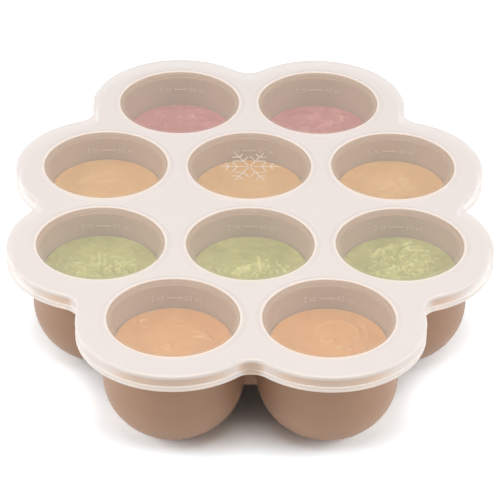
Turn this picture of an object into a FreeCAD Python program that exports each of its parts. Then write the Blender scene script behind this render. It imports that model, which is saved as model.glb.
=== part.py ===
import FreeCAD, Part
import math
import os
import Sketcher

V = FreeCAD.Vector
UP = V(0, 0, 1)

doc = FreeCAD.newDocument("FreezerTray")

# Driving dimensions in millimetres. A depth is measured down from the mouth plane,
# which is the flat top of the deck.
sizes = {
    # cups
    "cupRadius": 28.65,  # outside of the straight wall
    "columnGap": 4.7,  # between neighbours in one row
    "middleRowGap": 3.2,  # between the two middle rows, whose cups stand in line
    "diagonalGap": 3.8,  # between a cup of an outer row and its neighbours in the next row
    "mouthHeight": 49.4,  # mouth plane above the surface under the feet
    "straightDepth": 25.0,  # where the wall ends and the bowl begins
    "footRadius": 9.0,  # flat foot
    "mouthLand": 2.45,  # flat ring between the outside and the rounded mouth
    "mouthRound": 0.8,  # rounding where the deck rolls into the cup
    "wallDraft": 2.2,  # by how much the wall grows thicker on its way down
    "floorThickness": 2.5,
    "floorRadius": 9.0,  # flat inside the floor
    # deck
    "rimWidth": 8.0,  # deck outside the outer cups
    "rimDepth": 4.0,  # lower edge of the turned-down rim
    "rimWall": 3.0,
    "rimRound": 1.8,  # top edge of the rim
    "notchRadius": 10.9,  # hollow between two lobes of the rim
    "deckThickness": 2.4,
    "webDepth": 30.8,  # lower edge of the webs between cups
    "webThickness": 2.4,
    # lid
    "lidSeat": 0.3,  # gap between deck and lid
    "lidClearance": 0.4,  # gap between rim and skirt
    "lidThickness": 1.7,
    "windowThickness": 1.3,  # clear disc over a cup
    "windowLap": 0.3,  # how far a window reaches past the mouth
    "beadWidth": 2.0,  # raised ring around a window
    "beadHeight": 0.5,
    "beadRound": 0.4,
    "skirtWall": 1.6,
    "skirtReach": 1.5,  # how far the skirt reaches below the rim
    "shoulderRound": 1.4,  # outer edge of the lid
    "innerRound": 1.6,  # the same edge from inside
    "lipProud": 0.45,  # how far the lip stands out from the skirt
    "lipThickness": 2.4,
    # food portions
    "portionGap": 0.3,  # gap between a portion and its cup
    "fillDepth": 9.9,  # top of a portion
    "lowFillDepth": 13.0,  # top of a portion in the back row
    "portionRound": 1.2,  # top edge of a portion
}


class Size:
    """A length, both as an expression on the sheet and as a number."""

    def __init__(self, text, number):
        self.text = text
        self.number = number

    @staticmethod
    def of(thing):
        return thing if isinstance(thing, Size) else Size(repr(thing), thing)

    def __add__(self, other):
        other = Size.of(other)
        return Size(f"({self.text} + {other.text})", self.number + other.number)

    def __sub__(self, other):
        other = Size.of(other)
        return Size(f"({self.text} - {other.text})", self.number - other.number)

    def __mul__(self, other):
        other = Size.of(other)
        return Size(f"({self.text} * {other.text})", self.number * other.number)

    def __truediv__(self, other):
        other = Size.of(other)
        return Size(f"({self.text} / {other.text})", self.number / other.number)

    def __neg__(self):
        return Size(f"(-{self.text})", -self.number)

    def root(self):
        return Size(f"sqrt({self.text})", math.sqrt(self.number))


sheet = doc.addObject("Spreadsheet::Sheet", "Sizes")
size = {}
for row, (name, number) in enumerate(sizes.items(), start=1):
    sheet.set(f"A{row}", name)
    sheet.set(f"B{row}", str(number))
    sheet.setAlias(f"B{row}", name)
    size[name] = Size(f"Sizes.{name}", number)
doc.recompute()

# What follows from the driving dimensions
columnPitch = size["cupRadius"] * 2 + size["columnGap"]
diagonalPitch = size["cupRadius"] * 2 + size["diagonalGap"]
rowStep = (diagonalPitch * diagonalPitch - columnPitch * columnPitch / 4).root()
middleRow = size["cupRadius"] + size["middleRowGap"] / 2
outerRow = middleRow + rowStep
bowlHeight = size["mouthHeight"] - size["straightDepth"]
mouthRadius = size["cupRadius"] - size["mouthLand"]
windowRadius = mouthRadius + size["windowLap"]
wallTop = mouthRadius - size["mouthRound"]
wallTopHeight = size["mouthHeight"] - size["mouthRound"]
wallBottom = wallTop - size["wallDraft"]
rimRadius = size["cupRadius"] + size["rimWidth"]
deckUnderside = size["mouthHeight"] - size["deckThickness"]
skirtInside = size["lidClearance"]
skirtOutside = skirtInside + size["skirtWall"]
lidUnderside = size["mouthHeight"] + size["lidSeat"]
lidTop = lidUnderside + size["lidThickness"]
rimBottom = size["mouthHeight"] - size["rimDepth"]
skirtBottom = rimBottom - size["skirtReach"]

zero = Size.of(0)
cupOutside = [
    (zero, zero),
    (size["footRadius"], zero),
    (size["cupRadius"], bowlHeight),
    (size["cupRadius"], size["mouthHeight"]),
]

# Each cup's place: column pitches to the right, and its row's distance from the middle.
# The front is towards -Y.
places = {
    "back_left": (-0.5, outerRow),
    "back_right": (0.5, outerRow),
    "upper_left": (-1, middleRow),
    "upper_centre": (0, middleRow),
    "upper_right": (1, middleRow),
    "lower_left": (-1, -middleRow),
    "lower_centre": (0, -middleRow),
    "lower_right": (1, -middleRow),
    "front_left": (-0.5, -outerRow),
    "front_right": (0.5, -outerRow),
}
# the eight cups on the outline, counter-clockwise
outline = [
    "front_left",
    "front_right",
    "lower_right",
    "upper_right",
    "back_right",
    "back_left",
    "upper_left",
    "lower_left",
]
food = {
    "back_left": "berry_puree_left",
    "back_right": "berry_puree_right",
    "upper_left": "mango_puree_left",
    "upper_centre": "mango_puree_centre",
    "upper_right": "mango_puree_right",
    "lower_left": "pea_puree_left",
    "lower_centre": "pea_puree_centre",
    "lower_right": "pea_puree_right",
    "front_left": "carrot_puree_left",
    "front_right": "carrot_puree_right",
}


def centre(place):
    """Centre of a cup as a point."""
    column, along = places[place]
    return V(column * columnPitch.number, along.number, 0)


def newBody(label):
    """A body whose label names its file."""
    body = doc.addObject("PartDesign::Body", label)
    body.Label = label
    return body


def putAtCup(thing, place):
    """Moves a piece made about the Z axis to its cup."""
    column, along = places[place]
    thing.setExpression("Placement.Base.x", (columnPitch * column).text)
    thing.setExpression("Placement.Base.y", along.text)


def newSketch(body, name, role="XY_Plane", height=None):
    """A sketch on one of the body's own origin planes, raised where a height is given."""
    plane = next(item for item in body.Origin.OriginFeatures if item.Role == role)
    sketch = body.newObject("Sketcher::SketchObject", name)
    sketch.AttachmentSupport = [(plane, "")]
    sketch.MapMode = "FlatFace"
    sketch.Visibility = False
    if height is not None:
        sketch.setExpression("AttachmentOffset.Base.z", height.text)
    return sketch


def constrain(sketch, length, *constraint):
    """Adds a constraint whose value is bound to the sheet."""
    index = sketch.addConstraint(Sketcher.Constraint(*constraint, length.number))
    sketch.setExpression(f"Constraints[{index}]", length.text)


def pin(sketch, index, point, across, along):
    """Ties a point of the sketch to two distances from its origin."""
    for kind, distance, axis in (("DistanceX", across, -2), ("DistanceY", along, -1)):
        if distance.number == 0:
            sketch.addConstraint(Sketcher.Constraint("PointOnObject", index, point, axis))
        elif distance.number > 0:
            constrain(sketch, distance, kind, -1, 1, index, point)
        else:
            constrain(sketch, -distance, kind, index, point, -1, 1)


def pinToCup(sketch, index, name):
    """Ties the centre of a circle or an arc to the centre of a cup."""
    column, along = places[name]
    pin(sketch, index, 3, columnPitch * column, along)


def addLobes(sketch, offset):
    """Closed outline of eight lobes joined by hollow notches, offset outwards from the rim."""
    lobe = rimRadius + offset
    notch = size["notchRadius"] - offset
    count = len(outline)
    middles = [centre(name) for name in outline]
    hollows = []
    for here, there in zip(middles, middles[1:] + middles[:1]):
        outward = V(there.y - here.y, here.x - there.x, 0).normalize()
        reach = math.sqrt((lobe.number + notch.number) ** 2 - (there - here).Length ** 2 / 4)
        hollows.append((here + there) / 2 + outward * reach)

    def addArc(middle, radius, begin, end):
        """A counter-clockwise arc between the directions of two points."""
        first = math.atan2(begin.y - middle.y, begin.x - middle.x)
        last = math.atan2(end.y - middle.y, end.x - middle.x)
        last += 2 * math.pi if last < first else 0
        sketch.addGeometry(Part.ArcOfCircle(Part.Circle(middle, UP, radius.number), first, last), False)

    start = sketch.GeometryCount
    for index in range(count):
        addArc(middles[index], lobe, hollows[index - 1], hollows[index])
        addArc(hollows[index], notch, middles[(index + 1) % count], middles[index])
    for index, name in enumerate(outline):
        lobeArc = start + 2 * index
        notchArc = lobeArc + 1
        nextLobe = start + (2 * index + 2) % (2 * count)
        pinToCup(sketch, lobeArc, name)
        # a notch runs back from the next lobe's start to this lobe's end
        sketch.addConstraint(Sketcher.Constraint("Tangent", lobeArc, 2, notchArc, 2))
        sketch.addConstraint(Sketcher.Constraint("Tangent", notchArc, 1, nextLobe, 1))
        constrain(sketch, lobe, "Radius", lobeArc)
        constrain(sketch, notch, "Radius", notchArc)


def addCircles(sketch, radius):
    """One circle over every cup."""
    for name in places:
        index = sketch.addGeometry(Part.Circle(centre(name), UP, radius.number), False)
        pinToCup(sketch, index, name)
        constrain(sketch, radius, "Radius", index)


def addProfile(sketch, corners, bends):
    """Closed half section. corners are (radius, height); bends says which edges are arcs,
    as edge: the corner at which the arc runs on smoothly from its straight neighbour."""
    count = len(corners)
    points = [V(radius.number, height.number, 0) for radius, height in corners]
    ends = []
    for edge in range(count):
        here, there = points[edge], points[(edge + 1) % count]
        if edge not in bends:
            sketch.addGeometry(Part.LineSegment(here, there), False)
            ends.append((1, 2))
            continue
        smooth = bends[edge]
        at, other = (here, there) if smooth == edge else (there, here)
        straight = points[smooth - 1] if smooth == edge else points[(smooth + 1) % count]
        along = (at - straight).normalize()
        normal = V(-along.y, along.x, 0)
        chord = other - at
        middle = at + normal * (chord.Length**2 / (2 * normal.dot(chord)))
        first = math.atan2(here.y - middle.y, here.x - middle.x)
        last = math.atan2(there.y - middle.y, there.x - middle.x)
        turn = math.remainder(last - first, 2 * math.pi)
        begin, end = (first, first + turn) if turn > 0 else (last, last - turn)
        circle = Part.Circle(middle, UP, (here - middle).Length)
        sketch.addGeometry(Part.ArcOfCircle(circle, begin, end), False)
        ends.append((1, 2) if turn > 0 else (2, 1))
    smoothCorners = set(bends.values())
    for corner in range(count):
        before = (corner - 1) % count
        kind = "Tangent" if corner in smoothCorners else "Coincident"
        join = Sketcher.Constraint(kind, before, ends[before][1], corner, ends[corner][0])
        sketch.addConstraint(join)
        pin(sketch, corner, ends[corner][0], *corners[corner])


def pad(body, sketch, name, length):
    """Pads a sketch upwards."""
    feature = body.newObject("PartDesign::Pad", name)
    feature.Profile = sketch
    feature.setExpression("Length", length.text)
    return feature


def pocket(body, sketch, name, length, upwards):
    """Pockets a sketch and checks that this takes something away."""
    doc.recompute()
    before = body.Shape.Volume
    feature = body.newObject("PartDesign::Pocket", name)
    feature.Profile = sketch
    feature.Reversed = upwards
    feature.setExpression("Length", length.text)
    doc.recompute()
    if body.Shape.Volume > before - 1:
        raise ValueError(f"{name} cuts nothing")
    return feature


def revolve(body, sketch, name):
    """Turns a half section about the body's Z axis."""
    feature = body.newObject("PartDesign::Revolution", name)
    feature.Profile = sketch
    feature.ReferenceAxis = (sketch, ["V_Axis"])
    feature.Angle = 360
    return feature


def roundEdges(body, base, name, radius, wanted):
    """Rounds those edges of a feature that the test picks."""
    doc.recompute()
    edges = [f"Edge{index}" for index, edge in enumerate(base.Shape.Edges, start=1) if wanted(edge)]
    if not edges:
        raise ValueError(f"{name} finds no edge")
    feature = body.newObject("PartDesign::Fillet", name)
    feature.Base = (base, edges)
    feature.setExpression("Radius", radius.text)
    doc.recompute()
    return feature


def isLevel(edge, height):
    """Whether an edge lies in the level plane at a height."""
    box = edge.BoundBox
    return max(abs(box.ZMin - height.number), abs(box.ZMax - height.number)) < 1e-4


def hasRadius(edge, *radii):
    """Whether an edge is an arc or circle of one of the radii."""
    curve = edge.Curve
    return isinstance(curve, Part.Circle) and any(abs(curve.Radius - r.number) < 1e-4 for r in radii)


def makeDeck():
    """Thin sheet with a turned-down rim and a hole for every cup."""
    body = newBody("tray_deck")
    sketch = newSketch(body, "DeckOutline", height=rimBottom)
    addLobes(sketch, zero)
    block = pad(body, sketch, "DeckBlock", size["rimDepth"])
    roundEdges(
        body, block, "RimRound", size["rimRound"], lambda edge: isLevel(edge, size["mouthHeight"])
    )
    sketch = newSketch(body, "DeckHollow", height=rimBottom)
    addLobes(sketch, -size["rimWall"])
    pocket(body, sketch, "DeckUnderside", size["rimDepth"] - size["deckThickness"], True)
    sketch = newSketch(body, "CupHoles", height=size["mouthHeight"])
    addCircles(sketch, size["cupRadius"])
    pocket(body, sketch, "DeckHoles", size["rimDepth"], False)
    return body


def makeCup(name):
    """Cup with a drafted wall, a round bowl and a flat foot, level with the deck at its mouth."""
    body = newBody(f"cup_{name}")
    sketch = newSketch(body, f"CupSection_{name}", "XZ_Plane")
    corners = cupOutside + [
        (mouthRadius, size["mouthHeight"]),
        (wallTop, wallTopHeight),
        (wallBottom, bowlHeight),
        (size["floorRadius"], size["floorThickness"]),
        (zero, size["floorThickness"]),
    ]
    # outer bowl, rounded mouth, inner bowl
    addProfile(sketch, corners, {1: 2, 4: 4, 6: 6})
    revolve(body, sketch, f"CupShell_{name}")
    putAtCup(body, name)
    return body


def makePortion(name):
    """Food set in its cup: the cup's inner shape, a gap smaller, up to the fill line."""
    body = newBody(food[name])
    sketch = newSketch(body, f"FoodSection_{name}", "XZ_Plane")
    gap = size["portionGap"]
    depth = size["lowFillDepth"] if name.startswith("back") else size["fillDepth"]
    top = size["mouthHeight"] - depth
    slope = size["wallDraft"] / (wallTopHeight - bowlHeight)
    base = size["floorThickness"] + gap
    corners = [
        (zero, base),
        (size["floorRadius"], base),
        (wallBottom - gap, bowlHeight),
        (wallBottom - gap + slope * (top - bowlHeight), top),
        (zero, top),
    ]
    addProfile(sketch, corners, {1: 2})
    block = revolve(body, sketch, f"FoodBlock_{name}")
    roundEdges(
        body, block, f"FoodEdge_{name}", size["portionRound"], lambda edge: isLevel(edge, top)
    )
    putAtCup(body, name)
    return body


def makeWebs():
    """Upright webs under the deck between neighbouring cups, trimmed to the cups' outsides."""
    names = list(places)
    longest = max(columnPitch.number, diagonalPitch.number, 2 * middleRow.number) + 1e-6
    height = size["webDepth"] - size["deckThickness"]
    halfWeb = size["webThickness"] / 2
    webs = []
    for index, first in enumerate(names):
        for second in names[index + 1 :]:
            if (centre(second) - centre(first)).Length > longest:
                continue
            across = columnPitch * (places[second][0] - places[first][0])
            along = places[second][1] - places[first][1]
            span = (across * across + along * along).root()
            web = doc.addObject("Part::Box", f"Web_{first}_{second}")
            web.setExpression("Length", span.text)
            web.setExpression("Width", size["webThickness"].text)
            web.setExpression("Height", height.text)
            turn = math.degrees(math.atan2(along.number, across.number))
            web.Placement = FreeCAD.Placement(V(), FreeCAD.Rotation(UP, turn))
            web.setExpression("Placement.Rotation.Angle", f"atan2({along.text}; {across.text})")
            corner = (
                columnPitch * places[first][0] + halfWeb * along / span,
                places[first][1] - halfWeb * across / span,
                deckUnderside - height,
            )
            for axis, distance in zip("xyz", corner):
                web.setExpression(f"Placement.Base.{axis}", distance.text)
            webs.append(web)
    blocks = doc.addObject("Part::MultiFuse", "WebBlocks")
    blocks.Shapes = webs
    cores = []
    for name in places:
        sketch = doc.addObject("Sketcher::SketchObject", f"CoreSection_{name}")
        sketch.Placement = FreeCAD.Placement(V(), FreeCAD.Rotation(V(1, 0, 0), 90))
        addProfile(sketch, cupOutside + [(zero, size["mouthHeight"])], {1: 2})
        core = doc.addObject("Part::Revolution", f"Core_{name}")
        core.Source = sketch
        core.Axis = UP
        core.Angle = 360
        core.Solid = True
        putAtCup(core, name)
        cores.append(core)
    plugs = doc.addObject("Part::MultiFuse", "CupPlugs")
    plugs.Shapes = cores
    trimmed = doc.addObject("Part::Cut", "support_webs")
    trimmed.Label = "support_webs"
    trimmed.Base = blocks
    trimmed.Tool = plugs
    return trimmed


def makeLid():
    """Lid with a skirt that ends in a lip, and a window inside a raised ring over each cup."""
    body = newBody("lid")
    sketch = newSketch(body, "LidOutline", height=skirtBottom)
    addLobes(sketch, skirtOutside)
    block = pad(body, sketch, "LidBlock", lidTop - skirtBottom)
    roundEdges(body, block, "Shoulder", size["shoulderRound"], lambda edge: isLevel(edge, lidTop))
    sketch = newSketch(body, "LidHollow", height=skirtBottom)
    addLobes(sketch, skirtInside)
    hollow = pocket(body, sketch, "LidInside", lidUnderside - skirtBottom, True)
    inner = roundEdges(
        body, hollow, "InnerShoulder", size["innerRound"], lambda edge: isLevel(edge, lidUnderside)
    )
    sketch = newSketch(body, "LipOutline", height=skirtBottom)
    addLobes(sketch, skirtOutside + size["lipProud"])
    addLobes(sketch, skirtInside)
    pad(body, sketch, "Lip", size["lipThickness"])
    sketch = newSketch(body, "BeadOutline", height=lidUnderside + size["windowThickness"])
    ringRadius = windowRadius + size["beadWidth"]
    addCircles(sketch, ringRadius)
    addCircles(sketch, windowRadius)
    beadTop = lidTop + size["beadHeight"]
    beads = pad(body, sketch, "Beads", beadTop - lidUnderside - size["windowThickness"])
    sketch = newSketch(body, "WindowOutline", height=beadTop)
    addCircles(sketch, windowRadius)
    windows = pocket(
        body, sketch, "Windows", beadTop - lidUnderside - size["windowThickness"], False
    )
    roundEdges(
        body,
        windows,
        "BeadRounds",
        size["beadRound"],
        lambda edge: isLevel(edge, beadTop) and hasRadius(edge, ringRadius, windowRadius),
    )
    return body


pieces = [makeDeck(), makeWebs(), makeLid()]
pieces += [makeCup(name) for name in places]
pieces += [makePortion(name) for name in places]
doc.recompute()

for thing in doc.Objects:
    if {"Invalid", "Error"} & set(thing.State):
        raise ValueError(f"{thing.Name} failed: {thing.State}")
for piece in pieces:
    if piece.Shape.isNull() or not piece.Shape.isValid():
        raise ValueError(f"{piece.Label} has no valid shape")

os.makedirs("parts", exist_ok=True)
for piece in pieces:
    piece.Shape.exportStep(f"parts/{piece.Label}.step")
    box = piece.Shape.BoundBox
    print(
        f"{piece.Label}: {len(piece.Shape.Solids)} solids, {piece.Shape.Volume / 1000:.1f} cm3,"
        f" {box.XLength:.1f} x {box.YLength:.1f} x {box.ZLength:.1f} mm from z {box.ZMin:.2f}"
    )
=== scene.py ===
import math

import bmesh
import bpy
import numpy as np
from mathutils import Matrix, Vector
from mathutils.geometry import delaunay_2d_cdt


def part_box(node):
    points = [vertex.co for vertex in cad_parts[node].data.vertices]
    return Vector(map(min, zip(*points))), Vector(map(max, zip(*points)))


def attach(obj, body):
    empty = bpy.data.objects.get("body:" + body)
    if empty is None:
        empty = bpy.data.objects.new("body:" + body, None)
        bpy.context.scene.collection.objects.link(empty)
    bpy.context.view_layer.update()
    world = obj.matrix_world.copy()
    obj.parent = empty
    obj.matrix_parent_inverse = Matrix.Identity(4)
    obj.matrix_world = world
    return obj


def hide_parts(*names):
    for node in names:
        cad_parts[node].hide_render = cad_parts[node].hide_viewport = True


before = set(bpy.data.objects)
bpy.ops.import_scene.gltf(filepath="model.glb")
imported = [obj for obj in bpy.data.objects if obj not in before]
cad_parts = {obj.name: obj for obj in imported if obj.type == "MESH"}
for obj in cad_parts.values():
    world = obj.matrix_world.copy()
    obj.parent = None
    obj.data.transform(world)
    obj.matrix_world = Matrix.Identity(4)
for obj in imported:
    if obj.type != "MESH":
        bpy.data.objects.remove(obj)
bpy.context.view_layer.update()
mm = 0.001  # every length below is in millimetres until it goes into a mesh


def add(name, data):  # an object in the scene
    made = bpy.data.objects.new(name, data)
    bpy.context.scene.collection.objects.link(made)
    return made


# Camera

camera = {
    "azimuth": -0.717,  # degrees round from the front
    "elevation": 34.152,
    "roll": 0.652,
    "distance": 1108.2,
    "target": (-0.16, -34.5, 51.3),
    "lens": 193.3,
    "sensor": 36.0,
    "clip": (50, 20000),  # nearest and farthest that it sees
}


def makeCamera():
    data = bpy.data.cameras.new("camera")
    data.lens = camera["lens"]
    data.sensor_width = camera["sensor"]
    data.clip_start, data.clip_end = (reach * mm for reach in camera["clip"])
    azimuth, elevation, roll = (math.radians(camera[key]) for key in ("azimuth", "elevation", "roll"))
    back = Vector((
        math.sin(azimuth) * math.cos(elevation),
        -math.cos(azimuth) * math.cos(elevation),
        math.sin(elevation),
    ))
    level = Vector((math.cos(azimuth), math.sin(azimuth), 0))
    upright = back.cross(level)
    right = math.cos(roll) * level + math.sin(roll) * upright
    up = math.cos(roll) * upright - math.sin(roll) * level
    place = (Vector(camera["target"]) + back * camera["distance"]) * mm
    made = add("camera", data)
    made.matrix_world = Matrix.Translation(place) @ Matrix((right, up, back)).transposed().to_4x4()
    bpy.context.scene.camera = made


makeCamera()
print("camera placed")


# Materials

def tint(red, green, blue):  # a colour given in 0-255 as the linear one that a shader takes
    scaled = [part / 255 for part in (red, green, blue)]
    linear = [part / 12.92 if part <= 0.04045 else ((part + 0.055) / 1.055) ** 2.4 for part in scaled]
    return (*linear, 1.0)


class Wire:  # one output of a node, with arithmetic that adds Math nodes
    def __init__(self, graph, socket):
        self.graph = graph
        self.socket = socket

    def __add__(self, other):
        return self.graph.maths("ADD", self, other)

    __radd__ = __add__

    def __sub__(self, other):
        return self.graph.maths("SUBTRACT", self, other)

    def __rsub__(self, other):
        return self.graph.maths("SUBTRACT", other, self)

    def __mul__(self, other):
        return self.graph.maths("MULTIPLY", self, other)

    __rmul__ = __mul__


class Graph:  # the node tree of a material or of the sky
    def __init__(self, tree):
        self.tree = tree

    # a node of a type: its settings first, then its sockets' values or wires; gives one output
    def node(self, kind, settings=None, sockets=None, out=0):
        made = self.tree.nodes.new(kind)
        for name, value in (settings or {}).items():
            setattr(made, name, value)
        for name, value in (sockets or {}).items():
            self.put(made.inputs[name], value)
        return Wire(self, made.outputs[out])

    def put(self, socket, value):
        if isinstance(value, Wire):
            self.tree.links.new(value.socket, socket)
        else:
            socket.default_value = value

    def maths(self, operation, first, second):
        return self.node("ShaderNodeMath", {"operation": operation}, {0: first, 1: second})

    def rays(self, kind):  # 1 for one kind of ray, such as Shadow, else 0
        return self.node("ShaderNodeLightPath", out=f"Is {kind} Ray")

    def seen(self):  # 1 for rays from the camera, mirrors and glass, else 0
        found = self.rays("Camera") + self.rays("Glossy") + self.rays("Transmission")
        return self.maths("MINIMUM", found, 1)


class Finish(Graph):  # a material about its Principled shader
    def __init__(self, name, **uniform):
        self.material = bpy.data.materials.new(name)
        self.material.use_nodes = True
        super().__init__(self.material.node_tree)
        self.shader = self.tree.nodes["Principled BSDF"]
        self.place = self.node("ShaderNodeTexCoord", out="Object")
        self.give(**uniform)

    def give(self, **sockets):  # wires or values into the shader
        for name, value in sockets.items():
            self.put(self.shader.inputs[name.replace("_", " ")], value)

    def clouds(self, size, detail=2.0, shift=(0, 0, 0)):  # noise whose features are about size mm wide
        moved = self.node("ShaderNodeMapping", None, {"Vector": self.place, "Location": shift})
        return self.node(
            "ShaderNodeTexNoise", None, {"Vector": moved, "Scale": 1 / (size * mm), "Detail": detail}
        )

    def between(self, wire, low, high):  # 0 below low, 1 above high
        return self.node("ShaderNodeMapRange", {"interpolation_type": "SMOOTHSTEP"}, {
            "Value": wire, "From Min": low, "From Max": high,
        })

    def mix(self, share, first, second):
        # from one colour to another; a Mix node's factor and colours are its sockets 0, 6, 7 and 2
        settings = {"data_type": "RGBA", "clamp_factor": True}
        return self.node("ShaderNodeMix", settings, {0: share, 6: first, 7: second}, out=2)

    def relief(self, height, depth, strength):  # a bump, its depth in mm
        return self.node("ShaderNodeBump", None, {
            "Height": height, "Distance": depth * mm, "Strength": strength,
        }, out="Normal")

    def attribute(self, name):
        return self.node("ShaderNodeAttribute", {"attribute_name": name}, out="Fac")


traySilicone = {
    "body": tint(169, 131, 104),
    "worn": tint(175, 138, 111),
    # painted light: the cups' walls lighter and paler than the outside, standing in for light inside them
    "inside": tint(170, 138, 114),
    # painted highlight on the raised fill marks, as if they catch the light
    "markHighlight": tint(207, 180, 157),
    "patches": 38,  # widths of its noises
    "specks": 0.7,
    "grain": 0.45,
    "patchEdges": (0.35, 0.7),  # noise between which the worn colour sets in
    "speckEdges": (0.55, 0.75),
    "speckShare": 0.3,  # of the worn colour; the rest of it lies in the patches
    # the tray's attribute is 0 outside, a third inside the cups, where it lightens the walls as painted
    # light, and 1 on the fill marks, where it paints a highlight
    "insideFrom": (0, 0.3),
    "markFrom": (0.5, 1),
    "roughness": 0.46,
    "patchRoughness": 0.08,
    "grainRoughness": 0.06,
    "sheen": 0.12,
    "sheenRoughness": 0.5,
    "bump": (0.02, 0.25),  # depth in mm and strength
    "grainBump": 0.6,  # share of the grain in the bump; the specks have the rest
}


def makeTraySilicone():
    look = traySilicone
    finish = Finish("tray_silicone", Sheen_Weight=look["sheen"], Sheen_Roughness=look["sheenRoughness"])
    patches = finish.clouds(look["patches"], detail=3.0)
    specks = finish.clouds(look["specks"], shift=(0.3, 0.1, 0.2))
    grain = finish.clouds(look["grain"], detail=1.0)
    worn = finish.between(patches, *look["patchEdges"]) * (1 - look["speckShare"])
    worn += finish.between(specks, *look["speckEdges"]) * look["speckShare"]
    skin = finish.mix(worn, look["body"], look["worn"])
    # painted light on the cups' walls and a painted highlight on the fill marks
    paleAndLit = finish.attribute("paleAndLit")
    litWalls = finish.mix(finish.between(paleAndLit, *look["insideFrom"]), skin, look["inside"])
    bump = look["grainBump"] * grain + (1 - look["grainBump"]) * specks
    finish.give(
        Base_Color=finish.mix(finish.between(paleAndLit, *look["markFrom"]), litWalls, look["markHighlight"]),
        Roughness=look["roughness"] + look["patchRoughness"] * patches + look["grainRoughness"] * grain,
        Normal=finish.relief(bump, *look["bump"]),
    )
    return finish.material


lidSilicone = {
    "body": tint(246, 239, 235),
    "shade": tint(243, 234, 229),
    "clear": tint(244, 236, 221),
    "warmBounce": tint(252, 230, 212),  # painted light: where the wall is thin, this warm tint stands in for light bounced off the brown tray through it
    # the crests' cream; on the front of the shoulder's rounding the same colour is a painted highlight
    "crest": tint(252, 239, 228),
    # the attribute milk is least in the windows and most on the crests; between these values of it
    # each next colour sets in
    "thinFrom": (0.35, 0.5),
    "thickFrom": (0.75, 0.85),
    "crestFrom": (0.93, 0.96),
    "passes": 0.7,  # share of the shade that light scattered through the wall fills again
    "passesUpTo": (0.89, 0.9),  # of milk
    "haze": 22,  # widths of its noises
    "flow": 7,
    "dust": 0.9,
    "hazy": 0.08,  # by how much the haze changes the milk
    "roughness": 0.27,
    "hazeRoughness": 0.1,
    "dustRoughness": 0.04,
    "specular": 0.25,
    "bump": (0.05, 0.3),  # depth in mm and strength
    "flowBump": 0.8,  # share of the flow in the bump; the dust has the rest
}


def makeLidSilicone():
    look = lidSilicone
    finish = Finish("lid_silicone", Specular_IOR_Level=look["specular"])
    haze = finish.clouds(look["haze"], detail=3.0)
    dust = finish.clouds(look["dust"], shift=(0.2, 0.4, 0.1))
    flow = finish.clouds(look["flow"], shift=(0.5, 0.2, 0.3))
    milk = finish.attribute("milk")
    warmBounce = finish.mix(finish.between(milk, *look["thinFrom"]), look["clear"], look["warmBounce"])
    thick = finish.mix(haze, look["body"], look["shade"])
    wall = finish.mix(finish.between(milk, *look["thickFrom"]), warmBounce, thick)
    filled = look["passes"] * (1 - finish.between(milk, *look["passesUpTo"])) * finish.rays("Shadow")
    hazy = 1 - look["hazy"] / 2 + look["hazy"] * haze
    bump = look["flowBump"] * flow + (1 - look["flowBump"]) * dust
    finish.give(
        Base_Color=finish.mix(finish.between(milk, *look["crestFrom"]), wall, look["crest"]),
        Roughness=look["roughness"] + look["hazeRoughness"] * haze + look["dustRoughness"] * dust,
        Alpha=milk * hazy * (1 - filled),
        Normal=finish.relief(bump, *look["bump"]),
    )
    return finish.material


pulp = {  # what all four purees share
    "fine": 2.4,  # widths of its noises
    "broad": 11,
    "flecks": 0.8,
    "fineEdges": (0.4, 0.65),  # noise between which the paler colour sets in
    "broadEdges": (0.35, 0.65),
    "fleckEdges": (0.62, 0.72),  # and between which the specks' colour does
    "fineShare": 0.15,  # how far each noise takes its colour
    "broadShare": 0.25,
    "fleckShare": 0.15,
    "unevenness": 0.16,  # of the roughness, about the puree's own
    "bump": (0.12, 0.35),
    "fineBump": 0.8,
    "soft": 0.15,  # share of light that goes on under the surface, and how far it goes
    "softReach": 3,
}
purees = {  # raised is how much paler the raised places are: a painted highlight on them
    "berry": {
        "deep": tint(188, 83, 97), "pale": tint(228, 146, 142), "speck": tint(158, 66, 78),
        "raised": 0.75, "roughness": 0.4,
    },
    "mango": {
        "deep": tint(218, 158, 72), "pale": tint(233, 185, 109), "speck": tint(204, 136, 58),
        "raised": 0.55, "roughness": 0.42,
    },
    "pea": {
        "deep": tint(158, 157, 46), "pale": tint(224, 222, 132), "speck": tint(134, 134, 40),
        "raised": 0.78, "roughness": 0.34,
    },
    "carrot": {
        "deep": tint(223, 145, 41), "pale": tint(236, 177, 92), "speck": tint(212, 124, 32),
        "raised": 0.6, "roughness": 0.32,
    },
}


def makePuree(fruit):
    look = {**pulp, **purees[fruit]}
    reach = look["softReach"] * mm
    finish = Finish(f"{fruit}_puree", Subsurface_Weight=look["soft"], Subsurface_Scale=reach)
    fine = finish.clouds(look["fine"], detail=4.0)
    broad = finish.clouds(look["broad"], shift=(0.1, 0.3, 0.2))
    flecks = finish.clouds(look["flecks"], shift=(0.4, 0.2, 0.5))
    # painted highlight on the raised places, with paler tones from the noises
    paleAndLit = look["raised"] * finish.attribute("raised")
    paleAndLit += look["fineShare"] * finish.between(fine, *look["fineEdges"])
    paleAndLit += look["broadShare"] * finish.between(broad, *look["broadEdges"])
    mottled = finish.mix(paleAndLit, look["deep"], look["pale"])
    speckled = look["fleckShare"] * finish.between(flecks, *look["fleckEdges"])
    uneven = look["unevenness"]
    bump = look["fineBump"] * fine + (1 - look["fineBump"]) * flecks
    finish.give(
        Base_Color=finish.mix(speckled, mottled, look["speck"]),
        Roughness=look["roughness"] - uneven / 2 + uneven * fine,
        Normal=finish.relief(bump, *look["bump"]),
    )
    return finish.material


frostInk = {
    "body": tint(250, 240, 228),
    "shade": tint(240, 226, 212),
    "grain": 0.6,  # width of its noise
    "roughness": (0.4, 0.1),  # the least, and what the grain adds
    "cover": (0.42, 0.2),
}


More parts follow.
